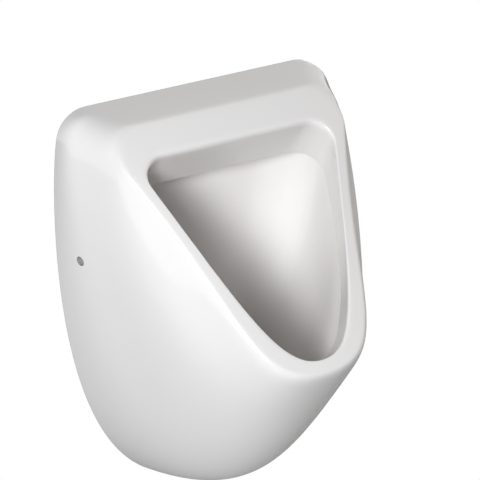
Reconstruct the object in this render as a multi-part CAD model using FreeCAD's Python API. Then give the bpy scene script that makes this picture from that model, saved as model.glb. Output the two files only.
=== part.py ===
"""Wall hung urinal in vitreous china with its inlet, waste, trap and wall fixings.

Frame: the wall face is the plane y = 0, the front looks along -Y, +Z is up, and the origin is the
middle of the foot of the wall face.  "Depth" is the distance in front of the wall, so depth = -y.
All sizes are millimetres and degrees.
"""
import FreeCAD, Part
import math
import os
from FreeCAD import Vector

os.makedirs("parts", exist_ok=True)

# ---------------------------------------------------------------- driving dimensions
# Every closed outline of the china is a shield: a flat top, two corner arcs, and on each side one
# long curve down to the foot.  Its five numbers are half the flat, the corner radius, the lean of
# the side where it leaves the corner, and the reach of the side curve's two ends.
HEIGHT = 554.0

WALL_FLAT = 145.0
WALL_CORNER = 40.0
WALL_LEAN = 11.3
WALL_SIDE_REACH = 70.0
WALL_FOOT_REACH = 208.5

RIM_FLAT = 90.7
RIM_CORNER = 48.4
RIM_LEAN = -16.3
RIM_SIDE_REACH = 179.0
RIM_FOOT_REACH = 102.0
RIM_TOP_DEPTH = 73.7
LIP_DEPTH = 339.0
LIP_HEIGHT = 303.5

OPENING_FLAT = 106.0
OPENING_CORNER = 20.7
OPENING_LEAN = -20.1
OPENING_SIDE_REACH = 194.4
OPENING_FOOT_REACH = 48.5
OPENING_TOP_SETBACK = 42.6
OPENING_TOP_DROP = 34.0
OPENING_LIP_SETBACK = 16.5
OPENING_LIP_RISE = 23.3

CREASE_FLAT = 95.5
CREASE_CORNER = 36.2
CREASE_LEAN = -15.3
CREASE_SIDE_REACH = 163.0
CREASE_FOOT_REACH = 44.2
CREASE_TOP_SETBACK = 46.7
CREASE_TOP_DROP = 54.0
CREASE_LIP_SETBACK = 21.0
CREASE_LIP_DROP = 20.8

BELLY_SHARES = (0.17, 0.66, 0.71)
BELLY_TOP_DEPTHS = (0.26, 0.48, 0.82)
BELLY_FOOT_DEPTHS = (0.216, 0.485, 0.806)
BELLY_FOOT_HEIGHTS = (0.065, 0.231, 0.715)
BELLY_SWELL = (25.0, -4.8, 13.0, -24.5, -18.4)
SHOULDER_SHARE = 0.28

SHELL_WALL = 10.0
BOWL_WALL = 9.0
CHAMBER_TOP_GAP = 46.0
CHAMBER_DEPTH = 60.0
BACK_DEPTH = 17.0
POINTS_PER_SIDE = 40
HULL_BANDS = 28
HOLLOW_REACH = 0.235
HOLLOW_TIP_OUTSIDE = 0.31
HOLLOW_TIP_INSIDE = 0.36
BACK_FROM = 0.44
BACK_TO = 0.91
BOWL_BANDS = 22
HOLLOW_BANDS = 6
BACK_BANDS = 11

DRAIN_DEPTH = 80.0
SEAT_HEIGHT = 180.0
SEAT_RADIUS = 36.0
SEAT_THICKNESS = 14.0
SEAT_BOSS_RADIUS = 47.0
DRAIN_RADIUS = 26.0

INLET_DROP = 82.0
INLET_HOLE_RADIUS = 15.0
INLET_BOSS_RADIUS = 23.0
INLET_BOSS_BACK = 8.0
INLET_BOSS_FRONT = 28.0

SIDE_HOLE_DEPTH = 49.0
SIDE_HOLE_HEIGHT = 375.0
SIDE_HOLE_RADIUS = 6.0
SIDE_BOSS_RADIUS = 12.0
SIDE_BOSS_FACE = 161.0
SIDE_BOSS_END = 174.5

THREAD_FIT = 0.05
GAP = 0.3

GASKET_THICKNESS = 2.0
FLANGE_RADIUS = 34.0
FLANGE_THICKNESS = 2.5
TAIL_RADIUS = 24.5
TAIL_WALL = 2.5
TAIL_LENGTH = 48.0
WASHER_RADIUS = 38.0
WASHER_THICKNESS = 3.0
BACK_NUT_FLATS = 64.0
BACK_NUT_HEIGHT = 9.0

STRAINER_RADIUS = 28.0
STRAINER_THICKNESS = 1.6
STRAINER_CROWN = 4.0
STRAINER_SKIRT = 6.5
STRAINER_SKIRT_WALL = 1.6
STRAINER_RING_RADIUS = 13.0
STRAINER_HOLES = 10
STRAINER_HOLE = 5.0
KNOB_RADIUS = 3.5
KNOB_HEIGHT = 6.0

TRAP_RADIUS = 36.0
TRAP_WALL = 3.0
TRAP_NECK_RADIUS = 29.0
TRAP_NECK_TOP = 144.0
TRAP_SHOULDER = 130.0
TRAP_JOINT = 80.0
TRAP_COLLAR_LENGTH = 10.0
TRAP_BOTTOM = 51.0
CUP_SEAL = 2.0
CUP_FLOOR_RADIUS = 14.0
CUP_FLOOR = 4.0
CUP_LEDGE_RADIUS = 29.0
UNION_NUT_RADIUS = 33.5
UNION_NUT_TOP = 152.0
UNION_NUT_BOTTOM = 132.0
UNION_LIP = 4.0
GRIPS = 12
GRIP_RADIUS = 2.5
GRIP_DEPTH = 1.2
DIP_RADIUS = 16.7
DIP_WALL = 1.7
DIP_RIM_RADIUS = 24.4
DIP_RIM = 2.5
DIP_BOTTOM = 60.5

OUTLET_HEIGHT = 106.0
OUTLET_RADIUS = 20.0
OUTLET_WALL = 2.0
OUTLET_SPIGOT = 28.0
OUTLET_ROOT_RADIUS = 20.8
OUTLET_COLLAR_RADIUS = 22.7
OUTLET_COLLAR = 3.0
STUB_RADIUS = 23.0
STUB_END_DEPTH = 38.0
OUTLET_SEAL = 2.0
OUTLET_NUT_RADIUS = 27.5
OUTLET_NUT_BACK = 29.0
OUTLET_NUT_FRONT = 42.0

INLET_THREAD_RADIUS = 13.0
SUPPLY_BORE_RADIUS = 10.3
SUPPLY_BORE_LENGTH = 18.0
INLET_WATERWAY = 7.5
INLET_FLANGE_RADIUS = 20.0
INLET_FLANGE = 3.0
INLET_SEAL = 2.0
INLET_SLEEVE = 12.0
INLET_WASHER_RADIUS = 17.5
INLET_WASHER = 2.0
LOCK_NUT_FLATS = 32.0
LOCK_NUT = 6.0
CONNECTOR_END_DEPTH = 44.0
SPREADER_RADIUS = 16.0
SPREADER_BACK_DEPTH = 36.5
SPREADER_FRONT_DEPTH = 52.0
SPREADER_FACE = 4.0
SPREADER_JETS = 8
SPREADER_JET = 1.8

BRACKET_THICKNESS = 4.0
BRACKET_HEIGHT = 60.0
BRACKET_REACH = 62.0
BRACKET_INNER_SIDE = 112.0
BRACKET_BEND = 2.0
WALL_BOLT_SPACING = 260.0
WALL_BOLT_HOLE_RADIUS = 5.5
PAD_THICKNESS = 2.0
PAD_RADIUS = 11.0
BUSH_LENGTH = 7.0
SCREW_RADIUS = 3.0
SCREW_HEAD_RADIUS = 5.0
SCREW_HEAD = 4.0
SCREW_KEY_FLATS = 5.0
SCREW_END = 146.0
SIDE_NUT_FLATS = 10.0
SIDE_NUT = 5.5


# ---------------------------------------------------------------- outlines and skins
def mix(first, second, share):
    """Outline numbers or a point, a share of the way from the first to the second."""
    return tuple(a + (b - a) * share for a, b in zip(first, second))


def shield(outline, top, foot):
    """Evenly spaced points round a shield outline, stood up between two (depth, height) points."""
    flat, corner, lean, side_reach, foot_reach = outline
    length = math.hypot(foot[0] - top[0], foot[1] - top[1])
    lean = math.radians(lean)
    side = Vector(flat + corner * math.cos(lean), corner - corner * math.sin(lean), 0)
    middle = (math.pi / 2 + lean) / 2
    on_arc = Vector(flat + corner * math.cos(middle), corner - corner * math.sin(middle), 0)
    down_side = Vector(math.sin(lean), math.cos(lean), 0)
    curve = Part.BezierCurve()
    curve.setPoles([side, side + down_side * side_reach,
                    Vector(foot_reach, length, 0), Vector(0, length, 0)])
    edges = [Part.Arc(Vector(flat, 0, 0), on_arc, side).toShape(), curve.toShape()]
    if flat > 0:
        edges.insert(0, Part.LineSegment(Vector(0, 0, 0), Vector(flat, 0, 0)).toShape())
    half = Part.Wire(edges).discretize(Number=POINTS_PER_SIDE + 1)
    along = ((foot[0] - top[0]) / length, (foot[1] - top[1]) / length)
    right = [Vector(p.x, -top[0] - along[0] * p.y, top[1] + along[1] * p.y) for p in half]
    left = [Vector(-p.x, p.y, p.z) for p in reversed(right[1:-1])]
    return right + left


def closed_curve(points):
    """Closed smooth curve through evenly numbered points."""
    count = len(points)
    curve = Part.BSplineCurve()
    curve.interpolate(Points=points, PeriodicFlag=True,
                      Parameters=[i / count for i in range(count + 1)])
    return curve


def drawn_skin(outlines):
    """Surface drawn towards the outlines: it starts on the first and ends on the last."""
    spans = len(outlines) - 3
    knots = [i / spans for i in range(spans + 1)]
    model = closed_curve(outlines[0])
    poles = [list(column) for column in zip(*[closed_curve(row).getPoles() for row in outlines])]
    surface = Part.BSplineSurface()
    surface.buildFromPolesMultsKnots(poles, model.getMultiplicities(),
                                     [4] + [1] * (spans - 1) + [4],
                                     model.getKnots(), knots, True, False, 3, 3)
    return surface


def bands(rings):
    """One narrow ruled face between each closed edge and the next."""
    return [Part.makeRuledSurface(first, second) for first, second in zip(rings, rings[1:])]


def rings_of(surface, count):
    """Closed edges at even steps across a surface."""
    return [surface.vIso(i / count).toShape() for i in range(count + 1)]


def beside(surface, across, distance):
    """Outline that runs at a distance from a surface, at one place across it."""
    count = 2 * POINTS_PER_SIDE
    return [surface.value(i / count, across) + surface.normal(i / count, across) * distance
            for i in range(count)]


def between(surface, across, other, other_across):
    """Outline half way between two surfaces."""
    count = 2 * POINTS_PER_SIDE
    return [(surface.value(i / count, across) + other.value(i / count, other_across)) * 0.5
            for i in range(count)]


# ---------------------------------------------------------------- plain solids
def tube(radius, bore, start, end, axis, base=Vector(0, 0, 0)):
    """Round bar or tube along an axis between two places on it."""
    start_point = base + axis * start
    bar = Part.makeCylinder(radius, end - start, start_point, axis)
    if bore > 0:
        bar = bar.cut(Part.makeCylinder(bore, end - start, start_point, axis))
    return bar


def hexagon(flats, start, end, axis, base=Vector(0, 0, 0)):
    """Six-sided bar along an axis, measured across its flats."""
    across = Vector(0, 0, 1) if abs(axis.z) < 0.5 else Vector(1, 0, 0)
    radius = flats / math.sqrt(3)
    corners = [base + axis * start + FreeCAD.Rotation(axis, 60 * i).multVec(across) * radius
               for i in range(7)]
    return Part.Face(Part.makePolygon(corners)).extrude(axis * (end - start))


def turned(profile, base):
    """Solid of revolution about the vertical through base, from (radius, height) corners."""
    points = [base + Vector(r, 0, z) for r, z in profile]
    face = Part.Face(Part.makePolygon(points + points[:1]))
    return face.revolve(base, Vector(0, 0, 1), 360)


def save(shape, node):
    """Write one named piece."""
    shape = shape.Solids[0]
    print(node, shape.isValid(), round(shape.Volume / 1000, 1), "cm3")
    shape.exportStep("parts/" + node + ".step")


BOSS_UNDERSIDE = SEAT_HEIGHT - SEAT_THICKNESS
GASKET_TOP = SEAT_HEIGHT + GASKET_THICKNESS
FLANGE_TOP = GASKET_TOP + FLANGE_THICKNESS
TAIL_END = GASKET_TOP - TAIL_LENGTH
TAIL_BORE = TAIL_RADIUS - TAIL_WALL
X = Vector(1, 0, 0)
Y = Vector(0, 1, 0)
Z = Vector(0, 0, 1)
DRAIN = Vector(0, -DRAIN_DEPTH, 0)
INLET = Vector(0, 0, HEIGHT - INLET_DROP)


# ---------------------------------------------------------------- ceramic body
def hull_skin():
    """Outside of the china: from the wall face, over the rim and down the inside band."""
    wall = (WALL_FLAT, WALL_CORNER, WALL_LEAN, WALL_SIDE_REACH, WALL_FOOT_REACH)
    rim = (RIM_FLAT, RIM_CORNER, RIM_LEAN, RIM_SIDE_REACH, RIM_FOOT_REACH)
    outlines = [shield(wall, (0, HEIGHT), (0, 0))]
    belly = zip(BELLY_SHARES, BELLY_TOP_DEPTHS, BELLY_FOOT_DEPTHS, BELLY_FOOT_HEIGHTS)
    for share, top_depth, foot_depth, foot_height in belly:
        swell = 4 * share * (1 - share)
        shape = [a + b * swell for a, b in zip(mix(wall, rim, share), BELLY_SWELL)]
        outlines.append(shield(shape, (RIM_TOP_DEPTH * top_depth, HEIGHT),
                               (LIP_DEPTH * foot_depth, LIP_HEIGHT * foot_height)))
    edge = shield(rim, (RIM_TOP_DEPTH, HEIGHT), (LIP_DEPTH, LIP_HEIGHT))
    shoulder = [a + (b - a) * SHOULDER_SHARE for a, b in zip(edge, outlines[-1])]
    opening, opening_top, opening_foot = opening_place()
    crease, crease_top, crease_foot = crease_place()
    outlines += [shoulder, edge,
                 shield(opening, opening_top, opening_foot),
                 shield(mix(opening, crease, 0.5), mix(opening_top, crease_top, 0.5),
                        mix(opening_foot, crease_foot, 0.5)),
                 shield(crease, crease_top, crease_foot)]
    return drawn_skin(outlines)


def opening_place():
    """Inner edge of the rim."""
    outline = (OPENING_FLAT, OPENING_CORNER, OPENING_LEAN, OPENING_SIDE_REACH, OPENING_FOOT_REACH)
    top = (RIM_TOP_DEPTH + OPENING_TOP_SETBACK, HEIGHT - OPENING_TOP_DROP)
    foot = (LIP_DEPTH - OPENING_LIP_SETBACK, LIP_HEIGHT + OPENING_LIP_RISE)
    return outline, top, foot


def crease_place():
    """Sharp lower edge of the band inside the rim, with the flushing channel behind it."""
    outline = (CREASE_FLAT, CREASE_CORNER, CREASE_LEAN, CREASE_SIDE_REACH, CREASE_FOOT_REACH)
    opening, top, foot = opening_place()
    return (outline, (top[0] - CREASE_TOP_SETBACK, top[1] - CREASE_TOP_DROP),
            (foot[0] - CREASE_LIP_SETBACK, foot[1] - CREASE_LIP_DROP))


def bowl_skin():
    """Inside of the bowl: from the crease round the flushing channel and down to the waste seat."""
    crease, top, foot = crease_place()
    quarter = 0.5523 * SEAT_RADIUS
    seat = (0.0, SEAT_RADIUS, 0.0, quarter, quarter)
    seat_top = (DRAIN_DEPTH - SEAT_RADIUS, SEAT_HEIGHT)
    seat_foot = (DRAIN_DEPTH + SEAT_RADIUS, SEAT_HEIGHT)
    ceiling = HEIGHT - CHAMBER_TOP_GAP
    drop = foot[1] - SEAT_HEIGHT
    run = foot[0] - seat_foot[0]
    stations = (
        (0.00, 2, 9, (CHAMBER_DEPTH, top[1] + 14), (foot[0] + 3.5, foot[1] - 17)),
        (0.00, -4, 20, (CHAMBER_DEPTH, ceiling - 2), (foot[0] - 2.5, foot[1] - 40)),
        (0.00, -12, 28, (BACK_DEPTH + 7, ceiling), (foot[0] - run * 0.16, foot[1] - drop * 0.48)),
        (0.10, -14, 28, (BACK_DEPTH, ceiling - 88), (foot[0] - run * 0.42, foot[1] - drop * 0.74)),
        (0.45, 0, 14, (BACK_DEPTH + 2, SEAT_HEIGHT + 105),
         (foot[0] - run * 0.76, foot[1] - drop * 0.96)),
        (0.90, 0, 2, (seat_top[0] - 4, SEAT_HEIGHT + 8), (seat_foot[0] + 5, SEAT_HEIGHT + 2)),
    )
    outlines = [shield(crease, top, foot)]
    for share, wider, rounder, station_top, station_foot in stations:
        flat, corner, lean, side_reach, foot_reach = mix(crease, seat, share)
        outlines.append(shield((flat + wider, corner + rounder, lean, side_reach, foot_reach),
                               station_top, station_foot))
    outlines.append(shield(seat, seat_top, seat_foot))
    return drawn_skin(outlines)


def hollow_rings(hull, bowl):
    """Hidden side of the china: up inside the outer wall, over, and back down behind the bowl."""
    wall = [beside(hull, HOLLOW_REACH * i / HOLLOW_BANDS, SHELL_WALL)
            for i in range(HOLLOW_BANDS + 1)]
    wall[0] = [Vector(p.x, 0, p.z) for p in wall[0]]
    back = [beside(bowl, BACK_FROM + (BACK_TO - BACK_FROM) * i / BACK_BANDS, BOWL_WALL)
            for i in range(BACK_BANDS + 1)]
    quarter = 0.5523 * SEAT_BOSS_RADIUS
    boss = shield((0.0, SEAT_BOSS_RADIUS, 0.0, quarter, quarter),
                  (DRAIN_DEPTH - SEAT_BOSS_RADIUS, BOSS_UNDERSIDE),
                  (DRAIN_DEPTH + SEAT_BOSS_RADIUS, BOSS_UNDERSIDE))
    tip = between(hull, HOLLOW_TIP_OUTSIDE, bowl, HOLLOW_TIP_INSIDE)
    outlines = wall + [tip] + back + [boss]
    return [closed_curve(outline).toShape() for outline in outlines]


def ceramic_body():
    """One china casting: outer wall, rim, bowl and the bosses for inlet, waste and fixings."""
    hull = hull_skin()
    bowl = bowl_skin()
    outer = rings_of(hull, HULL_BANDS)
    inner = rings_of(bowl, BOWL_BANDS)
    hidden = hollow_rings(hull, bowl)

    def disc(ring):
        return Part.Face(Part.Wire([ring]))

    wall_face = disc(outer[0]).cut(disc(hidden[0])).Faces[0]
    shell = Part.makeCompound(bands(outer) + bands(inner) + bands(hidden)
                              + [wall_face, disc(inner[-1]), disc(hidden[-1])])
    shell.sewShape(0.001)
    body = Part.Solid(shell.Shells[0])
    if body.Volume < 0:
        body.reverse()
    inlet_boss = tube(INLET_BOSS_RADIUS, 0, -INLET_BOSS_FRONT, -INLET_BOSS_BACK, Y, INLET)
    body = body.fuse(inlet_boss)
    for side in (-1, 1):
        place = Vector(0, -SIDE_HOLE_DEPTH, SIDE_HOLE_HEIGHT)
        body = body.fuse(tube(SIDE_BOSS_RADIUS, 0, SIDE_BOSS_FACE, SIDE_BOSS_END, X * side, place))
        body = body.cut(tube(SIDE_HOLE_RADIUS, 0, SIDE_BOSS_FACE - 1, WALL_FLAT + WALL_CORNER + 20,
                             X * side, place))
    body = body.cut(tube(INLET_HOLE_RADIUS, 0, -INLET_BOSS_FRONT - 1, -INLET_BOSS_BACK + 1, Y, INLET))
    body = body.cut(tube(DRAIN_RADIUS, 0, SEAT_HEIGHT - SEAT_THICKNESS - 1, SEAT_HEIGHT + 1,
                         Z, DRAIN))
    return body


# ---------------------------------------------------------------- waste outlet of the bowl
def waste_gasket():
    """Rubber ring between the flange and the china seat."""
    return tube(FLANGE_RADIUS, TAIL_RADIUS + GAP, SEAT_HEIGHT, GASKET_TOP, Z, DRAIN)


def waste_flange():
    """Chromed flange with a threaded tail that passes down through the china."""
    return turned([(TAIL_BORE, TAIL_END), (TAIL_RADIUS, TAIL_END), (TAIL_RADIUS, GASKET_TOP),
                   (FLANGE_RADIUS, GASKET_TOP), (FLANGE_RADIUS, FLANGE_TOP - 1.0),
                   (FLANGE_RADIUS - 1.0, FLANGE_TOP), (TAIL_BORE, FLANGE_TOP)], DRAIN)


def waste_washer():
    """Thick rubber washer under the china boss."""
    return tube(WASHER_RADIUS, TAIL_RADIUS + GAP, BOSS_UNDERSIDE - WASHER_THICKNESS,
                BOSS_UNDERSIDE, Z, DRAIN)


def waste_back_nut():
    """Hexagon nut that clamps flange and washer against the china."""
    top = BOSS_UNDERSIDE - WASHER_THICKNESS
    nut = hexagon(BACK_NUT_FLATS, top - BACK_NUT_HEIGHT, top, Z, DRAIN)
    return nut.cut(tube(TAIL_RADIUS + THREAD_FIT, 0, top - BACK_NUT_HEIGHT - 1, top + 1, Z, DRAIN))


def drain_strainer():
    """Loose domed strainer: it rests on the flange and its skirt guides it in the waste."""
    skirt = TAIL_BORE - THREAD_FIT
    top = FLANGE_TOP + STRAINER_THICKNESS
    crown = top + STRAINER_CROWN
    shape = turned([(skirt - STRAINER_SKIRT_WALL, FLANGE_TOP - STRAINER_SKIRT),
                    (skirt, FLANGE_TOP - STRAINER_SKIRT), (skirt, FLANGE_TOP),
                    (STRAINER_RADIUS, FLANGE_TOP), (STRAINER_RADIUS, top), (skirt, top),
                    (KNOB_RADIUS, crown), (KNOB_RADIUS, crown + KNOB_HEIGHT),
                    (0, crown + KNOB_HEIGHT), (0, crown - STRAINER_THICKNESS),
                    (skirt - STRAINER_SKIRT_WALL, FLANGE_TOP)], DRAIN)
    for k in range(STRAINER_HOLES):
        out = FreeCAD.Rotation(Z, 360 * k / STRAINER_HOLES).multVec(X)
        place = DRAIN + out * STRAINER_RING_RADIUS
        shape = shape.cut(hexagon(STRAINER_HOLE, FLANGE_TOP - 1, FLANGE_TOP + 20, Z, place))
    return shape


# ---------------------------------------------------------------- bottle trap
def gripped(radius, start, end, axis, base):
    """Round nut blank with finger grips round it."""
    blank = tube(radius, 0, start, end, axis, base)
    first = Vector(1, 0, 0)
    for k in range(GRIPS):
        out = FreeCAD.Rotation(axis, 360 * k / GRIPS).multVec(first)
        middle = base + out * (radius + GRIP_RADIUS - GRIP_DEPTH)
        blank = blank.cut(tube(GRIP_RADIUS, 0, start, end, axis, middle))
    return blank


def trap_union_nut():
    """Nut that joins the waste tail to the neck of the trap."""
    nut = gripped(UNION_NUT_RADIUS, UNION_NUT_BOTTOM, UNION_NUT_TOP, Z, DRAIN)
    nut = nut.cut(tube(TRAP_NECK_RADIUS + THREAD_FIT, 0, UNION_NUT_BOTTOM - 1,
                       UNION_NUT_TOP - UNION_LIP, Z, DRAIN))
    return nut.cut(tube(TAIL_RADIUS + GAP, 0, UNION_NUT_BOTTOM, UNION_NUT_TOP + 1, Z, DRAIN))


def trap_union_seal():
    """Rubber ring squeezed between that nut, the tail and the top of the neck."""
    return tube(TRAP_NECK_RADIUS - GAP, TAIL_RADIUS + GAP, TRAP_NECK_TOP,
                UNION_NUT_TOP - UNION_LIP, Z, DRAIN)


def trap_body():
    """Upper half of the bottle, with the neck on top and the outlet stub at the back."""
    inside = TRAP_RADIUS - TRAP_WALL
    collar_end = TRAP_JOINT - TRAP_COLLAR_LENGTH
    body = turned([
        (DIP_RADIUS + GAP, TRAP_SHOULDER - TRAP_WALL - 1), (DIP_RADIUS + GAP, TRAP_SHOULDER - 1),
        (TAIL_RADIUS + GAP, TRAP_SHOULDER - 1), (TAIL_RADIUS + GAP, TRAP_NECK_TOP),
        (TRAP_NECK_RADIUS, TRAP_NECK_TOP), (TRAP_NECK_RADIUS, TRAP_SHOULDER),
        (TRAP_RADIUS - 2, TRAP_SHOULDER), (TRAP_RADIUS, TRAP_SHOULDER - 2),
        (TRAP_RADIUS, TRAP_JOINT), (inside, TRAP_JOINT), (inside, collar_end),
        (inside - 2, collar_end), (inside - 2, TRAP_JOINT + 3), (inside, TRAP_JOINT + 5),
        (inside, TRAP_SHOULDER - TRAP_WALL - 1)], DRAIN)
    middle = Vector(0, 0, OUTLET_HEIGHT)
    stub = tube(STUB_RADIUS, 0, -(DRAIN_DEPTH - inside * 0.8), -STUB_END_DEPTH, Y, middle)
    stub = stub.cut(tube(inside, 0, TRAP_JOINT, TRAP_SHOULDER, Z, DRAIN))
    waterway = tube(OUTLET_RADIUS - OUTLET_WALL, 0, -(DRAIN_DEPTH - DIP_RADIUS),
                    -STUB_END_DEPTH + 1, Y, middle)
    return body.fuse(stub).cut(waterway)


def trap_dip_tube():
    """Tube that hangs in the neck and dips below the standing water."""
    ledge = TRAP_SHOULDER - 1
    tube_part = tube(DIP_RADIUS, DIP_RADIUS - DIP_WALL, DIP_BOTTOM, ledge + DIP_RIM, Z, DRAIN)
    rim = tube(DIP_RIM_RADIUS, DIP_RADIUS - DIP_WALL, ledge, ledge + DIP_RIM, Z, DRAIN)
    return tube_part.fuse(rim)


def trap_cup():
    """Screw-on lower half of the bottle, sloped to follow the china below it."""
    thread = TRAP_RADIUS - TRAP_WALL + THREAD_FIT
    ledge = TRAP_JOINT - TRAP_COLLAR_LENGTH - CUP_SEAL
    crown = 1.5
    return turned([(0, TRAP_BOTTOM), (CUP_FLOOR_RADIUS, TRAP_BOTTOM + crown), (TRAP_RADIUS, ledge),
                   (TRAP_RADIUS, TRAP_JOINT), (thread, TRAP_JOINT), (thread, ledge),
                   (CUP_LEDGE_RADIUS, ledge), (CUP_FLOOR_RADIUS - 1, TRAP_BOTTOM + crown + CUP_FLOOR),
                   (0, TRAP_BOTTOM + CUP_FLOOR)], DRAIN)


def trap_cup_seal():
    """Flat rubber ring inside the joint between the two halves of the bottle."""
    inside = TRAP_RADIUS - TRAP_WALL
    ledge = TRAP_JOINT - TRAP_COLLAR_LENGTH - CUP_SEAL
    return tube(inside - GAP, CUP_LEDGE_RADIUS + GAP, ledge, ledge + CUP_SEAL, Z, DRAIN)


# ---------------------------------------------------------------- outlet to the wall
OUTLET = Vector(0, 0, OUTLET_HEIGHT)


def outlet_tube():
    """Short tube: a spigot for the waste pipe in the wall, a thicker root and an end collar."""
    front = -(STUB_END_DEPTH - OUTLET_SEAL)
    bore = OUTLET_RADIUS - OUTLET_WALL
    spigot = tube(OUTLET_RADIUS, bore, -OUTLET_SPIGOT, 0, Y, OUTLET)
    root = tube(OUTLET_ROOT_RADIUS, bore, front, -OUTLET_SPIGOT, Y, OUTLET)
    collar = tube(OUTLET_COLLAR_RADIUS, bore, front, front + OUTLET_COLLAR, Y, OUTLET)
    return spigot.fuse(root).fuse(collar)


def outlet_seal():
    """Rubber ring between the trap stub and the outlet tube."""
    return tube(OUTLET_COLLAR_RADIUS, OUTLET_RADIUS - OUTLET_WALL, -STUB_END_DEPTH,
                -(STUB_END_DEPTH - OUTLET_SEAL), Y, OUTLET)


def outlet_union_nut():
    """Nut that pulls the outlet tube against the trap stub."""
    nut = gripped(OUTLET_NUT_RADIUS, -OUTLET_NUT_FRONT, -OUTLET_NUT_BACK, Y, OUTLET)
    lip = -(STUB_END_DEPTH - OUTLET_SEAL - OUTLET_COLLAR)
    nut = nut.cut(tube(STUB_RADIUS + THREAD_FIT, 0, -OUTLET_NUT_FRONT - 1, lip, Y, OUTLET))
    return nut.cut(tube(OUTLET_ROOT_RADIUS + GAP, 0, -OUTLET_NUT_FRONT, 0, Y, OUTLET))


# ---------------------------------------------------------------- water inlet
def inlet_connector():
    """Brass connector: socket for the supply at the back, thread for nut and spreader in front."""
    flange_front = -(INLET_BOSS_BACK - INLET_SEAL)
    flange_back = flange_front + INLET_FLANGE
    body = tube(INLET_THREAD_RADIUS, 0, -CONNECTOR_END_DEPTH, flange_back, Y, INLET)
    body = body.fuse(tube(INLET_FLANGE_RADIUS, 0, flange_front, flange_back, Y, INLET))
    body = body.cut(tube(INLET_WATERWAY, 0, -CONNECTOR_END_DEPTH - 1, flange_back, Y, INLET))
    return body.cut(tube(SUPPLY_BORE_RADIUS, 0, flange_back - SUPPLY_BORE_LENGTH,
                         flange_back + 1, Y, INLET))


def inlet_seal():
    """Rubber washer between the connector flange and the back of the china."""
    return tube(INLET_FLANGE_RADIUS, INLET_THREAD_RADIUS + GAP, -INLET_BOSS_BACK,
                -(INLET_BOSS_BACK - INLET_SEAL), Y, INLET)


def inlet_sleeve():
    """Rubber sleeve that centres the connector in the hole through the china."""
    middle = (INLET_BOSS_BACK + INLET_BOSS_FRONT) / 2
    return tube(INLET_HOLE_RADIUS - GAP, INLET_THREAD_RADIUS + GAP, -middle - INLET_SLEEVE / 2,
                -middle + INLET_SLEEVE / 2, Y, INLET)


def inlet_washer():
    """Plastic washer inside the flushing channel."""
    return tube(INLET_WASHER_RADIUS, INLET_THREAD_RADIUS + GAP, -INLET_BOSS_FRONT - INLET_WASHER,
                -INLET_BOSS_FRONT, Y, INLET)


def inlet_lock_nut():
    """Brass nut that clamps the connector to the china."""
    back = -(INLET_BOSS_FRONT + INLET_WASHER)
    nut = hexagon(LOCK_NUT_FLATS, back - LOCK_NUT, back, Y, INLET)
    return nut.cut(tube(INLET_THREAD_RADIUS + THREAD_FIT, 0, back - LOCK_NUT - 1, back + 1,
                        Y, INLET))


def flush_spreader():
    """Cap with jets all round that spreads the flush along the channel."""
    cap = tube(SPREADER_RADIUS, 0, -SPREADER_FRONT_DEPTH, -SPREADER_BACK_DEPTH, Y, INLET)
    floor = -(SPREADER_FRONT_DEPTH - SPREADER_FACE)
    cap = cap.cut(tube(INLET_THREAD_RADIUS + THREAD_FIT, 0, floor, 0, Y, INLET))
    jet = floor - (floor + CONNECTOR_END_DEPTH) / 2
    for k in range(SPREADER_JETS):
        out = FreeCAD.Rotation(Y, 360 * k / SPREADER_JETS + 15).multVec(X)
        cap = cap.cut(hexagon(SPREADER_JET, INLET_THREAD_RADIUS - 2, SPREADER_RADIUS + 1,
                              out, INLET + Y * jet))
    return cap


# ---------------------------------------------------------------- wall fixings, one set per side
def hole_centre():
    """Where the axis of the side hole crosses the plane of symmetry."""
    return Vector(0, -SIDE_HOLE_DEPTH, SIDE_HOLE_HEIGHT)


def hanger_bracket(side):
    """Steel angle: one leg is bolted to the wall, the other takes the side screw."""
    outer = SIDE_BOSS_FACE - PAD_THICKNESS
    foot = SIDE_HOLE_HEIGHT - BRACKET_HEIGHT / 2
    outline = [(BRACKET_INNER_SIDE, 0), (outer, 0), (outer, BRACKET_REACH),
               (outer - BRACKET_THICKNESS, BRACKET_REACH),
               (outer - BRACKET_THICKNESS, BRACKET_THICKNESS), (BRACKET_INNER_SIDE,
                                                                BRACKET_THICKNESS)]
    corners = [Vector(side * x, -depth, foot) for x, depth in outline + outline[:1]]
    plate = Part.Face(Part.makePolygon(corners)).extrude(Z * BRACKET_HEIGHT)
    bend = [e for e in plate.Edges if e.Length > BRACKET_HEIGHT - 1
            and abs(abs(e.CenterOfMass.x) - outer) < 0.01 and abs(e.CenterOfMass.y) < 0.01]
    plate = plate.makeFillet(BRACKET_BEND + BRACKET_THICKNESS, bend)
    inside = [e for e in plate.Edges if e.Length > BRACKET_HEIGHT - 1
              and abs(abs(e.CenterOfMass.x) - outer + BRACKET_THICKNESS) < 0.01
              and abs(e.CenterOfMass.y + BRACKET_THICKNESS) < 0.01]
    plate = plate.makeFillet(BRACKET_BEND, inside)
    bolt = Vector(side * WALL_BOLT_SPACING / 2, 0, SIDE_HOLE_HEIGHT)
    plate = plate.cut(tube(WALL_BOLT_HOLE_RADIUS, 0, -BRACKET_THICKNESS - 1, 1, Y, bolt))
    return plate.cut(tube(SCREW_RADIUS + GAP, 0, outer - 2 * BRACKET_THICKNESS, outer + 1,
                          X * side, hole_centre()))


def bracket_pad(side):
    """Rubber pad between bracket and china."""
    return tube(PAD_RADIUS, SCREW_RADIUS + GAP, SIDE_BOSS_FACE - PAD_THICKNESS, SIDE_BOSS_FACE,
                X * side, hole_centre())


def side_bush(side):
    """Plastic bush that carries the screw head down inside the side hole."""
    return tube(SIDE_HOLE_RADIUS - GAP, SCREW_RADIUS + GAP, SIDE_BOSS_FACE,
                SIDE_BOSS_FACE + BUSH_LENGTH, X * side, hole_centre())


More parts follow.
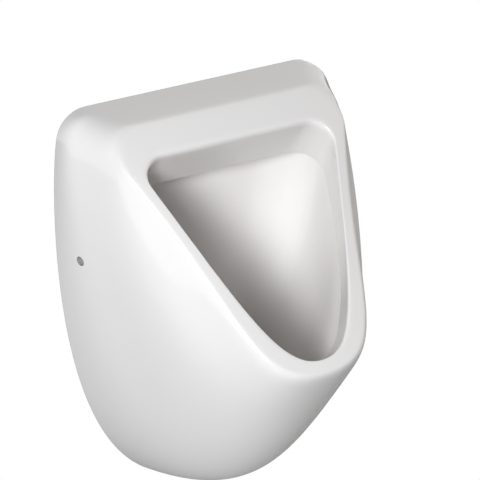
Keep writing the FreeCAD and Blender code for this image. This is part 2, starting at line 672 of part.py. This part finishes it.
def side_screw(side):
    """Socket screw that draws the china against the bracket."""
    seat = SIDE_BOSS_FACE + BUSH_LENGTH
    screw = tube(SCREW_RADIUS, 0, SCREW_END, seat + 1, X * side, hole_centre())
    screw = screw.fuse(tube(SCREW_HEAD_RADIUS, 0, seat, seat + SCREW_HEAD, X * side,
                            hole_centre()))
    return screw.cut(hexagon(SCREW_KEY_FLATS, seat + 1.5, seat + SCREW_HEAD + 1, X * side,
                             hole_centre()))


def screw_nut(side):
    """Nut behind the bracket."""
    face = SIDE_BOSS_FACE - PAD_THICKNESS - BRACKET_THICKNESS
    nut = hexagon(SIDE_NUT_FLATS, face - SIDE_NUT, face, X * side, hole_centre())
    return nut.cut(tube(SCREW_RADIUS + THREAD_FIT, 0, face - SIDE_NUT - 1, face + 1,
                        X * side, hole_centre()))


# ---------------------------------------------------------------- write every piece
PIECES = (ceramic_body, waste_gasket, waste_flange, waste_washer, waste_back_nut, drain_strainer,
          trap_union_nut, trap_union_seal, trap_body, trap_dip_tube, trap_cup, trap_cup_seal,
          outlet_tube, outlet_seal, outlet_union_nut, inlet_connector, inlet_seal, inlet_sleeve,
          inlet_washer, inlet_lock_nut, flush_spreader)
SIDE_PIECES = (hanger_bracket, bracket_pad, side_bush, side_screw, screw_nut)

for piece in PIECES:
    save(piece(), piece.__name__)
for side_name, direction in (("left", -1), ("right", 1)):
    for piece in SIDE_PIECES:
        save(piece(direction), side_name + "_" + piece.__name__)
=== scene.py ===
import math

import bmesh
import bpy
import numpy as np
from mathutils import Matrix, Vector


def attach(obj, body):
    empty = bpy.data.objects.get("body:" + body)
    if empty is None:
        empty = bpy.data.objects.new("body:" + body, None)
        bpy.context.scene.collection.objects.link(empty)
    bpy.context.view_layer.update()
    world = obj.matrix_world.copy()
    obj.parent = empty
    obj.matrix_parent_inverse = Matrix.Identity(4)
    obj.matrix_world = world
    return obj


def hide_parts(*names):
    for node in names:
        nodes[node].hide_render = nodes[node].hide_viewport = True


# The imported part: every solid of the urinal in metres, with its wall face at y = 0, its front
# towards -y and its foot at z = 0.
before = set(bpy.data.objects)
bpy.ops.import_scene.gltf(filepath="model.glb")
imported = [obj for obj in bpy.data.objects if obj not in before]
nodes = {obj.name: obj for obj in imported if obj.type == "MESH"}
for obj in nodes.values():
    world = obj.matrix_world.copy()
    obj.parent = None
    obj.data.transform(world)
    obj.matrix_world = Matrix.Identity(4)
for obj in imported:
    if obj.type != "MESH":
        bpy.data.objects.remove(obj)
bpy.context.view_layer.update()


# ------------------------------------------------------------------------------------------------
# The viewpoint.  A long lens looks down on the piece from its left, so the top, the left flank and
# the inside of the bowl all show.  Angles are in radians and places in metres.
turn, tilt = 0.51375, 0.46823                          # to the left of straight on, and downwards
away, sideways, upwards = 3.57162, 0.06049, 0.30604    # as the lens sees it, from the foot
foot_drop = 0.0056                                     # the whole view is taken this much lower
lens_length, film_width, far_end = 202.5, 36.0, 50.0

right = Vector((math.cos(turn), -math.sin(turn), 0))
up = Vector((math.sin(turn) * math.sin(tilt), math.cos(turn) * math.sin(tilt), math.cos(tilt)))
back = right.cross(up)
place = back * away + right * sideways + up * upwards - Vector((0, 0, foot_drop))
camera = bpy.data.objects.new("camera", bpy.data.cameras.new("camera"))
bpy.context.scene.collection.objects.link(camera)
camera.matrix_world = Matrix.Translation(place) @ Matrix((right, up, back)).transposed().to_4x4()
camera.data.lens, camera.data.sensor_width = lens_length, film_width
camera.data.clip_end = far_end
bpy.context.scene.camera = camera


# ------------------------------------------------------------------------------------------------
# The room: white where it is seen, nearly dark as a light.  A soft lamp stands at the front left,
# a larger and weaker one at the right and a little behind, and a pale floor lies well below.
class Tap:
    """One socket of a node.  Sums written on it add Math nodes to its tree."""

    def __init__(self, tree, socket=None):
        self.tree, self.socket = tree, socket

    def add(self, kind, settings=None, inputs=None, out=0):
        """New node of a kind: its settings first, then the values or links of its sockets."""
        node = self.tree.nodes.new(kind)
        for name, value in (settings or {}).items():
            setattr(node, name, value)
        for name, value in (inputs or {}).items():
            if isinstance(value, Tap):
                self.tree.links.new(value.socket, node.inputs[name])
            else:
                node.inputs[name].default_value = value
        return Tap(self.tree, node.outputs[out])

    def maths(self, operation, *values):
        return self.add("ShaderNodeMath", {"operation": operation}, dict(enumerate(values)))

    def __add__(self, other):
        return self.maths("ADD", self, other)

    def __sub__(self, other):
        return self.maths("SUBTRACT", self, other)

    def __rsub__(self, other):
        return self.maths("SUBTRACT", other, self)

    def __mul__(self, other):
        return self.maths("MULTIPLY", self, other)

    __radd__, __rmul__ = __add__, __mul__


room_light, room_white = 0.03, 1.0
world = bpy.data.worlds.new("white_room")
bpy.context.scene.world = world
world.use_nodes = True
tree = world.node_tree
camera_ray, glossy_ray, through_ray = (
    Tap(tree).add("ShaderNodeLightPath", out=ray)
    for ray in ("Is Camera Ray", "Is Glossy Ray", "Is Transmission Ray"))
seen = camera_ray.maths("MINIMUM", camera_ray + glossy_ray + through_ray, 1.0)
strength = seen * (room_white - room_light) + room_light
background = tree.nodes["Background"]
background.inputs["Color"].default_value = (1, 1, 1, 1)
tree.links.new(strength.socket, background.inputs["Strength"])
bpy.context.scene.view_settings.view_transform = "Standard"

bowl_middle = Vector((0, -0.15, 0.32))
lamp_distance = 3.0


def soft_lamp(name, direction, size, power, colour):
    """Square lamp (metres, watts) on one side of the piece, facing the middle of the bowl."""
    lamp = bpy.data.lights.new(name, "AREA")
    lamp.shape, lamp.size, lamp.energy, lamp.color = "SQUARE", size, power, colour
    stand = bpy.data.objects.new(name, lamp)
    bpy.context.scene.collection.objects.link(stand)
    toward = Vector(direction).normalized()
    stand.location = bowl_middle + toward * lamp_distance
    stand.rotation_euler = toward.to_track_quat("Z", "Y").to_euler()
    return stand


cool, warm = (0.98, 0.995, 1.02), (1.02, 1.0, 0.98)
soft_lamp("key_lamp", (-0.635, -0.66, 0.42), 0.85, 99.5, cool)
back_lamp = soft_lamp("back_lamp", (0.94, 0.20, 0.37), 1.4, 64, warm)
back_lamp.visible_glossy = False    # its grazing reflections would hide the piece's right edge

floor_level, floor_grey, floor_roughness = -0.65, 0.5, 0.9
floor_corners = ((-6, -8), (6, -8), (6, 4), (-6, 4))
floor_mesh = bpy.data.meshes.new("floor")
floor_mesh.from_pydata([(x, y, floor_level) for x, y in floor_corners], [], [(0, 1, 2, 3)])
floor = bpy.data.objects.new("floor", floor_mesh)
bpy.context.scene.collection.objects.link(floor)
paint = bpy.data.materials.new("pale_floor")
paint.use_nodes = True
tree = paint.node_tree
shader = tree.nodes["Principled BSDF"]
shader.inputs["Base Color"].default_value = (floor_grey, floor_grey, floor_grey, 1)
shader.inputs["Roughness"].default_value = floor_roughness
seen_white = Tap(tree).add("ShaderNodeEmission", inputs={
    "Color": (1, 1, 1, 1), "Strength": room_white})
surface = Tap(tree).add("ShaderNodeMixShader", inputs={
    "Fac": Tap(tree).add("ShaderNodeLightPath", out="Is Camera Ray"),
    1: Tap(tree, shader.outputs["BSDF"]), 2: seen_white})
tree.links.new(surface.socket, tree.nodes["Material Output"].inputs["Surface"])
floor_mesh.materials.append(paint)


# ------------------------------------------------------------------------------------------------
# The china body: one slip-cast and glazed casting, open at the back.  Its outer wall runs from the
# wall face over a rolled rim into the band round the top of the bowl, and the bowl hangs inside it.
# It is drawn as outlines, in millimetres, and a smooth skin is stretched over them.

# Each outline is a shield: half the flat top, the corner's radius, the side's lean below the corner
# in degrees, and how far the side curve is drawn down the side and out along the foot.  It stands
# between a top and a foot, each given as its depth in front of the wall and its height.
body_height = 554.0
wall_outline, wall_top, wall_foot = (145, 40, 11.3, 70, 208.5), (0, body_height), (0, 0)
rim_outline = (107.7, 44, -20.8, 213.3, 105.2)
rim_top, rim_foot = (77.7, body_height - 2), (335.1, 305.6)
opening_outline = (97.6, 28, -16.9, 197.6, 49.6)
opening_top, opening_foot = (111.4, 523), (321.3, 321.8)
crease_outline = (95.5, 36.2, -15.3, 163, 44.2)
crease_top, crease_foot = (69.6, 466), (301.5, 306)

# The belly's outlines lie between wall and rim: the share of the way, what the flat top and the
# corner gain, the top and the foot.  The swell is added to all five measures halfway and fades out
# towards both ends.
belly = ((0.17, 0, 0, (19.6, body_height), (73, 19.7)),
         (0.66, -1.9, 10.7, (26.7, body_height), (164, 70)),
         (0.71, -14.4, 6.6, (69.7, body_height), (268.3, 213.4)))
swell = (25.9, -17.6, 17.1, -24.5, -18.4)
shoulder = 0.39                     # how far back towards the belly the rim starts to roll
rolls = (0.4, 0.7)                  # shares of the way from the rim's edge to the opening
band_start, band_end = 0.42, 0.12   # shares that hold the band straight between opening and crease

seat_centre, seat_height, seat_radius = 80.0, 180.0, 36.0    # the flat ring that carries the waste
waste_radius, boss_radius, boss_height = 26.0, 47.0, 166.0
outer_wall, bowl_wall = 10.0, 9.0
inlet_centre, inlet_hole_radius, inlet_boss_radius = (0, 0, 472), 15, 23
side_centre, side_hole_radius, side_boss_radius = (0, -49, 375), 6, 12

round_arm = 0.5523                  # arm of a curve that draws a quarter circle, for a radius of 1
half_steps, arc_steps, side_steps = 110, 120, 900    # along half an outline, its arc and its side
outside_rows, inside_rows, hidden_rows = 190, 110, 90
bar_sides = 96


def mix(first, second, share):
    """What lies at a share of the way from the first outline, point or row to the second."""
    first, second = np.asarray(first), np.asarray(second)
    return first + (second - first) * share


def evenly(points, count):
    """The same line with count + 1 points at equal distances along it."""
    along = np.concatenate([[0], np.cumsum(np.linalg.norm(np.diff(points, axis=0), axis=1))])
    even = np.linspace(0, along[-1], count + 1)
    return np.stack([np.interp(even, along, points[:, k]) for k in range(points.shape[1])], 1)


def shield(outline, top, foot):
    """Closed outline with a flat top, corner arcs and long side curves, stood from top to foot."""
    flat, corner, lean, side_reach, foot_reach = outline
    top, foot = np.array(top, float), np.array(foot, float)
    length = np.linalg.norm(foot - top)
    lean = math.radians(lean)
    sweep = np.linspace(math.pi / 2, lean, arc_steps)
    arc = np.stack([flat + corner * np.cos(sweep), corner - corner * np.sin(sweep)], 1)
    start, end = arc[-1], np.array([0, length])
    down_side = start + side_reach * np.array([math.sin(lean), math.cos(lean)])
    out_foot = np.array([foot_reach, length])
    t = np.linspace(0, 1, side_steps)[:, None]
    side = ((1 - t) ** 3 * start + 3 * t * (1 - t) ** 2 * down_side
            + 3 * t * t * (1 - t) * out_foot + t ** 3 * end)
    half = evenly(np.concatenate([[[0, 0]], arc, side[1:]]), half_steps)
    stood = top + half[:, 1:] * (foot - top) / length
    half = np.stack([half[:, 0], -stood[:, 0], stood[:, 1]], 1)
    return np.concatenate([half, half[-2:0:-1] * (-1, 1, 1)])


def ring(radius, height):
    """Level round outline about the waste's axis."""
    arm = round_arm * radius
    rear, front = (seat_centre - radius, height), (seat_centre + radius, height)
    return shield((0, radius, 0, arm, arm), rear, front)


def drawn_rows(outlines, shares):
    """Rows of a smooth skin drawn towards the outlines, at shares of the way across it."""
    knots = np.concatenate([[0] * 3, np.linspace(0, 1, len(outlines) - 2), [1] * 3])
    shares = np.clip(np.asarray(shares, float), 0, 1 - 1e-9)
    weight = np.array([(low <= shares) & (shares < high) for low, high in zip(knots, knots[1:])],
                      float)
    for degree in (1, 2, 3):
        raised = []
        for i in range(len(weight) - 1):
            start, end = knots[i], knots[i + degree + 1]
            rise, fall = knots[i + degree] - start, end - knots[i + 1]
            rising = (shares - start) / rise * weight[i] if rise > 0 else shares * 0
            falling = (end - shares) / fall * weight[i + 1] if fall > 0 else shares * 0
            raised.append(rising + falling)
        weight = np.array(raised)
    return np.einsum("is,ipk->spk", weight, np.array(outlines))


def beside(outlines, share, distance):
    """Row of a skin at one share, moved off it along its normal."""
    reach = 0.002
    before, row, after = drawn_rows(outlines, (max(share - reach, 0), share, share + reach))
    normal = np.cross(np.roll(row, -1, 0) - np.roll(row, 1, 0), after - before)
    return row + normal / np.linalg.norm(normal, axis=1)[:, None] * distance


def fitted_rows(outlines, count):
    """Rows of a smooth skin that passes through all the outlines, a natural cubic spline."""
    outlines = np.array(outlines)
    gap = np.linalg.norm(np.diff(outlines, axis=0), axis=2).mean(1)
    knots = np.concatenate([[0], np.cumsum(gap)])
    last, gap = len(knots) - 1, np.diff(knots)
    system, bend = np.eye(last + 1), np.zeros_like(outlines)
    for i in range(1, last):
        system[i, i - 1:i + 2] = gap[i - 1], 2 * (gap[i - 1] + gap[i]), gap[i]
        bend[i] = 6 * ((outlines[i + 1] - outlines[i]) / gap[i]
                       - (outlines[i] - outlines[i - 1]) / gap[i - 1])
    bend = np.linalg.solve(system, bend.reshape(last + 1, -1)).reshape(outlines.shape)
    at = np.linspace(0, knots[-1], count)
    i = np.clip(np.searchsorted(knots, at, side="right") - 1, 0, last - 1)
    share = (at - knots[i]) / gap[i]
    first, second, gap = (values[:, None, None] for values in (1 - share, share, gap[i]))
    bent = (first ** 3 - first) * bend[i] + (second ** 3 - second) * bend[i + 1]
    return first * outlines[i] + second * outlines[i + 1] + bent * gap ** 2 / 6


# The outer skin: wall face, belly, rolled rim, band and crease.
hull = [shield(wall_outline, wall_top, wall_foot)]
for share, wider, rounder, top, foot in belly:
    outline = mix(wall_outline, rim_outline, share) + 4 * share * (1 - share) * np.array(swell)
    outline[:2] += wider, rounder
    hull.append(shield(outline, top, foot))
edge = shield(rim_outline, rim_top, rim_foot)
opening = shield(opening_outline, opening_top, opening_foot)
crease = shield(crease_outline, crease_top, crease_foot)
middle = shield(mix(opening_outline, crease_outline, 0.5), mix(opening_top, crease_top, 0.5),
                mix(opening_foot, crease_foot, 0.5))
hull += [mix(edge, hull[-1], shoulder), edge, *(mix(edge, opening, roll) for roll in rolls),
         opening, mix(opening, middle, band_start), mix(middle, crease, band_end), crease]

# The bowl widens under the band, then draws in to the round seat.  Each row has the share of the
# way from crease to seat, what the flat top and the corner gain, its top and its foot.
ceiling = body_height - 46
run, drop = crease_foot[0] - seat_centre - seat_radius, crease_foot[1] - seat_height
seat_arm = round_arm * seat_radius
round_seat = (0, seat_radius, 0, seat_arm, seat_arm)


def bowl_foot(forward, downward):
    """Foot of a row, at shares of the way from the crease's foot to the seat's front edge."""
    return crease_foot[0] - run * forward, crease_foot[1] - drop * downward


bowl = [crease]
for share, wider, rounder, top, foot in (
        (0, 2, 9, (60, crease_top[1] + 14), (crease_foot[0] + 3.5, crease_foot[1] - 17)),
        (0, -4, 20, (60, ceiling - 2), (crease_foot[0] - 2.5, crease_foot[1] - 40)),
        (0, -12, 28, (24, ceiling), bowl_foot(0.16, 0.48)),
        (0.1, -14, 28, (17, ceiling - 88), bowl_foot(0.42, 0.74)),
        (0.45, 0, 14, (19, seat_height + 105), bowl_foot(0.76, 0.96)),
        (0.9, 0, 2, (seat_centre - seat_radius - 4, seat_height + 8),
         (seat_centre + seat_radius + 5, seat_height + 2))):
    outline = mix(crease_outline, round_seat, share)
    outline[:2] += wider, rounder
    bowl.append(shield(outline, top, foot))
bowl.append(ring(seat_radius, seat_height))

# The hidden side follows the outer wall at its thickness, turns back where the wall and the bowl
# come together, at the two shares named here, and follows the bowl down to the waste's boss.
fold_outside, fold_inside = 0.207, 0.36
hollow = [beside(hull, 0, outer_wall) * (1, 0, 1)]
hollow += [beside(hull, share, outer_wall) for share in (0.04, 0.08, 0.12, 0.157)]
hollow.append((drawn_rows(hull, [fold_outside])[0] + drawn_rows(bowl, [fold_inside])[0]) / 2)
hollow += [beside(bowl, share, bowl_wall) for share in (0.44, 0.50, 0.57, 0.65, 0.73, 0.81, 0.90)]
hollow.append(ring(boss_radius, boss_height))


def drawn_in(row, radius):
    """A round row drawn in to the waste's hole."""
    axis, narrower = np.array([0, -seat_centre, 0]), waste_radius / radius
    return (row - axis) * (narrower, narrower, 1) + axis


outside = drawn_rows(hull, np.linspace(0, 1, outside_rows))
inside = drawn_rows(bowl, np.linspace(0, 1, inside_rows))
behind = fitted_rows(hollow, hidden_rows)
bore = [drawn_in(inside[-1], seat_radius), drawn_in(behind[-1], boss_radius)]
rows = np.concatenate([outside, inside[1:], bore, behind[::-1]])

# One closed mesh: each row of points is joined to the next, and the last to the first.
count, around = rows.shape[:2]
here = np.arange(count * around).reshape(count, around)
next_row, next_point = np.roll(here, -1, 0), np.roll(here, -1, 1)
faces = np.stack([here, next_row, np.roll(next_row, -1, 1), next_point], -1).reshape(-1, 4)
skin = bpy.data.meshes.new("china_body")
skin.from_pydata((rows.reshape(-1, 3) / 1000).tolist(), [], faces.tolist())
skin.update()
china = bpy.data.objects.new("china_body", skin)
bpy.context.scene.collection.objects.link(china)


def bar(name, radius, start, end, centre, axis):
    """Round bar, from start to end along an axis through a centre: a boss, or a drill."""
    mesh = bpy.data.meshes.new(name)
    shape = bmesh.new()
    bmesh.ops.create_cone(shape, cap_ends=True, segments=bar_sides, radius1=radius / 1000,
                          radius2=radius / 1000, depth=abs(end - start) / 1000)
    shape.to_mesh(mesh)
    shape.free()
    piece = bpy.data.objects.new(name, mesh)
    bpy.context.scene.collection.objects.link(piece)
    middle = Vector(centre) / 1000 + Vector(axis) * (start + end) / 2000
    facing = Vector(axis).to_track_quat("Z", "Y").to_matrix().to_4x4()
    piece.matrix_world = Matrix.Translation(middle) @ facing
    return piece


# Bosses for the inlet and the two side fixings are added behind the china, and their holes drilled.
# Each bar has its radius, then its start and end: from the wall, or from the middle of the piece.
forwards, leftwards, rightwards = (0, -1, 0), (-1, 0, 0), (1, 0, 0)
tools = []
for action, name, radius, start, end, centre, axis in (
        ("UNION", "inlet_boss", inlet_boss_radius, 8, 28, inlet_centre, forwards),
        ("UNION", "left_boss", side_boss_radius, 161, 174.5, side_centre, leftwards),
        ("UNION", "right_boss", side_boss_radius, 161, 174.5, side_centre, rightwards),
        ("DIFFERENCE", "inlet_hole", inlet_hole_radius, 5, 31, inlet_centre, forwards),
        ("DIFFERENCE", "left_hole", side_hole_radius, 158, 200, side_centre, leftwards),
        ("DIFFERENCE", "right_hole", side_hole_radius, 158, 200, side_centre, rightwards)):
    tool = bar(name, radius, start, end, centre, axis)
    tools.append(tool)
    modifier = china.modifiers.new(name, "BOOLEAN")
    modifier.operation, modifier.solver, modifier.object = action, "EXACT", tool
bpy.context.view_layer.update()
cut = bpy.data.meshes.new_from_object(china.evaluated_get(bpy.context.evaluated_depsgraph_get()))
china.modifiers.clear()
china.data = cut
for tool in tools:
    bpy.data.objects.remove(tool)
sharp_corner = math.radians(40)
china.data.shade_smooth()
china.data.set_sharp_from_angle(angle=sharp_corner)


def finish(name, metallic=0.0):
    """New material: gives it, its shader and the place on the piece in metres."""
    material = bpy.data.materials.new(name)
    material.use_nodes = True
    shader = material.node_tree.nodes["Principled BSDF"]
    shader.inputs["Metallic"].default_value = metallic
    return material, shader, Tap(material.node_tree).add("ShaderNodeTexCoord", out="Object")


def feed(shader, **taps):
    """Links colour, roughness or bump to a shader's sockets."""
    for socket, tap in taps.items():
        tap.tree.links.new(tap.socket, shader.inputs[socket.replace("_", " ")])


def noise(where, scale, detail=2.0):
    """Cloudy pattern with about so many patches to the metre."""
    return where.add("ShaderNodeTexNoise", inputs={
        "Vector": where, "Scale": scale, "Detail": detail})


def between(share, low, high):
    """Number that runs from low to high as the share rises."""
    return share * (high - low) + low


def tones(share, first, second):
    """Colour that runs from the first tone to the second as the share rises."""
    first, second = (tone if isinstance(tone, Tap) else (*tone, 1) for tone in (first, second))
    return share.add("ShaderNodeMix", {"data_type": "RGBA"},
                     {"Factor": share, 6: first, 7: second}, out=2)


def bump(height, strength, distance):
    """Fine relief, its distance in metres."""
    return height.add("ShaderNodeBump", inputs={
        "Height": height, "Strength": strength, "Distance": distance})


# The glaze is white and a little cloudy.  The china is bare and rough in the side holes, and where
# the casting was ground flat to lie on the wall.  Its bare tone is darker than bare china is: in
# the side holes this dark tone is painted shade.
hole_edge = 0.2                     # bare china reaches this far past the side hole's radius (mm)
inner_flank = 0.15                  # the side holes lie further out than this (metres)
ground_depth = 0.0006               # so much of the edge at the wall is bare (metres)
# bare tone darkened past bare china's own: painted shade inside the side holes
bare_china_painted_shade, bare_roughness = (0.30, 0.285, 0.265), 0.6
glaze, shader, where = finish("china_glaze")
cloud = noise(where, scale=9.0)
across, outward, height = (
    where.add("ShaderNodeSeparateXYZ", inputs={"Vector": where}, out=axis) for axis in "XYZ")
aside, above = outward - side_centre[1] / 1000, height - side_centre[2] / 1000
near_hole = where.maths("LESS_THAN", aside * aside + above * above,
                        ((side_hole_radius + hole_edge) / 1000) ** 2)
on_flank = where.maths("GREATER_THAN", across * across, inner_flank ** 2)
ground = where.maths("GREATER_THAN", outward, -ground_depth)
# marks bare china, and in the side holes painted shade as well
bare_and_shaded = where.maths("MAXIMUM", near_hole * on_flank, ground)
white = tones(cloud, (0.775, 0.755, 0.738), (0.795, 0.778, 0.763))
feed(shader, Base_Color=tones(bare_and_shaded, white, bare_china_painted_shade),
     Roughness=between(cloud, 0.08, 0.14) + bare_and_shaded * bare_roughness,
     Normal=bump(noise(where, scale=170.0, detail=1.0), strength=0.08, distance=0.0004))
china.data.materials.clear()
china.data.materials.append(glaze)
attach(china, "urinal")
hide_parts("ceramic_body")


# ------------------------------------------------------------------------------------------------
# The waste: a chromed brass flange whose threaded tail passes through the china, clamped by a steel
# back nut between black rubber rings, with a loose domed strainer lying in the flange.
def dress(material, *names):
    """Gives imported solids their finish."""
    for name in names:
        for place in nodes[name].material_slots:
            place.material = material


chrome, shader, where = finish("polished_chrome", metallic=1.0)
wiped = noise(where, scale=60.0, detail=4.0)
feed(shader, Base_Color=tones(wiped, (0.74, 0.75, 0.76), (0.80, 0.81, 0.82)),
     Roughness=between(wiped, 0.04, 0.14),
     Normal=bump(wiped, strength=0.04, distance=0.0002))
dress(chrome, "waste_flange", "drain_strainer")

rubber, shader, where = finish("moulded_rubber")
bloom = noise(where, scale=240.0, detail=3.0)
feed(shader, Base_Color=tones(bloom, (0.028, 0.028, 0.029), (0.055, 0.055, 0.057)),
     Roughness=between(bloom, 0.6, 0.8),
     Normal=bump(bloom, strength=0.2, distance=0.0003))
dress(rubber, "waste_gasket", "waste_washer")

stainless, shader, where = finish("plain_stainless", metallic=1.0)
along_x = (900.0, 60.0, 60.0)
rolled = where.add("ShaderNodeMapping", inputs={"Vector": where, "Scale": along_x})
lines = noise(rolled, scale=1.0, detail=3.0)
feed(shader, Base_Color=tones(lines, (0.36, 0.36, 0.37), (0.46, 0.46, 0.47)),
     Roughness=between(lines, 0.32, 0.52),
     Normal=bump(lines, strength=0.12, distance=0.0001))
dress(stainless, "waste_back_nut")


# ------------------------------------------------------------------------------------------------
# The bottle trap and the outlet: white moulded plastic, screwed together by hand, with rubber rings
# in the joints.  The tube runs back to the waste pipe in the wall.
trap_plastic, shader, where = finish("white_moulded_plastic")
flow, grain = noise(where, scale=25.0), noise(where, scale=700.0, detail=1.0)
feed(shader, Base_Color=tones(flow, (0.76, 0.76, 0.745), (0.81, 0.81, 0.80)),
     Roughness=between(flow, 0.28, 0.38),
     Normal=bump(grain, strength=0.12, distance=0.0001))
dress(trap_plastic, "trap_union_nut", "trap_body", "trap_dip_tube", "trap_cup")
dress(trap_plastic, "outlet_tube", "outlet_union_nut")
dress(rubber, "trap_union_seal", "trap_cup_seal", "outlet_seal")


# ------------------------------------------------------------------------------------------------
# The inlet: a turned brass connector through the back of the china, held by a brass lock nut on a
# nylon washer, with a plastic spreader that throws the water along the flushing channel.
brass, shader, where = finish("turned_brass", metallic=1.0)
along_y = (40.0, 1600.0, 40.0)
turned = where.add("ShaderNodeMapping", inputs={"Vector": where, "Scale": along_y})
cuts = noise(turned, scale=1.0)
feed(shader, Base_Color=tones(cuts, (0.62, 0.46, 0.20), (0.76, 0.60, 0.31)),
     Roughness=between(cuts, 0.22, 0.42),
     Normal=bump(cuts, strength=0.15, distance=0.0001))
dress(brass, "inlet_connector", "inlet_lock_nut")

nylon, shader, where = finish("grey_nylon")
grain = noise(where, scale=500.0)
feed(shader, Base_Color=tones(grain, (0.13, 0.13, 0.135), (0.17, 0.17, 0.175)),
     Roughness=between(grain, 0.45, 0.60),
     Normal=bump(grain, strength=0.15, distance=0.0001))
dress(nylon, "inlet_washer")
dress(rubber, "inlet_seal", "inlet_sleeve")
dress(trap_plastic, "flush_spreader")


# ------------------------------------------------------------------------------------------------
# The wall fixings: bent galvanised brackets on rubber pads, each with a nylon bush in the side hole
# and a stainless screw and nut that draw the china against it.
galvanised, shader, where = finish("galvanised_plate", metallic=1.0)
spangle = where.add("ShaderNodeTexVoronoi", inputs={"Vector": where, "Scale": 260.0}, out="Color")
flake = where.add("ShaderNodeSeparateColor", inputs={"Color": spangle}, out="Red")
feed(shader, Base_Color=tones(flake, (0.46, 0.48, 0.50), (0.64, 0.66, 0.67)),
     Roughness=between(flake, 0.35, 0.60),
     Normal=bump(noise(where, scale=400.0), strength=0.15, distance=0.0002))
for side in ("left", "right"):
    dress(galvanised, side + "_hanger_bracket")
    dress(rubber, side + "_bracket_pad")
    dress(nylon, side + "_side_bush")
    dress(stainless, side + "_side_screw", side + "_screw_nut")
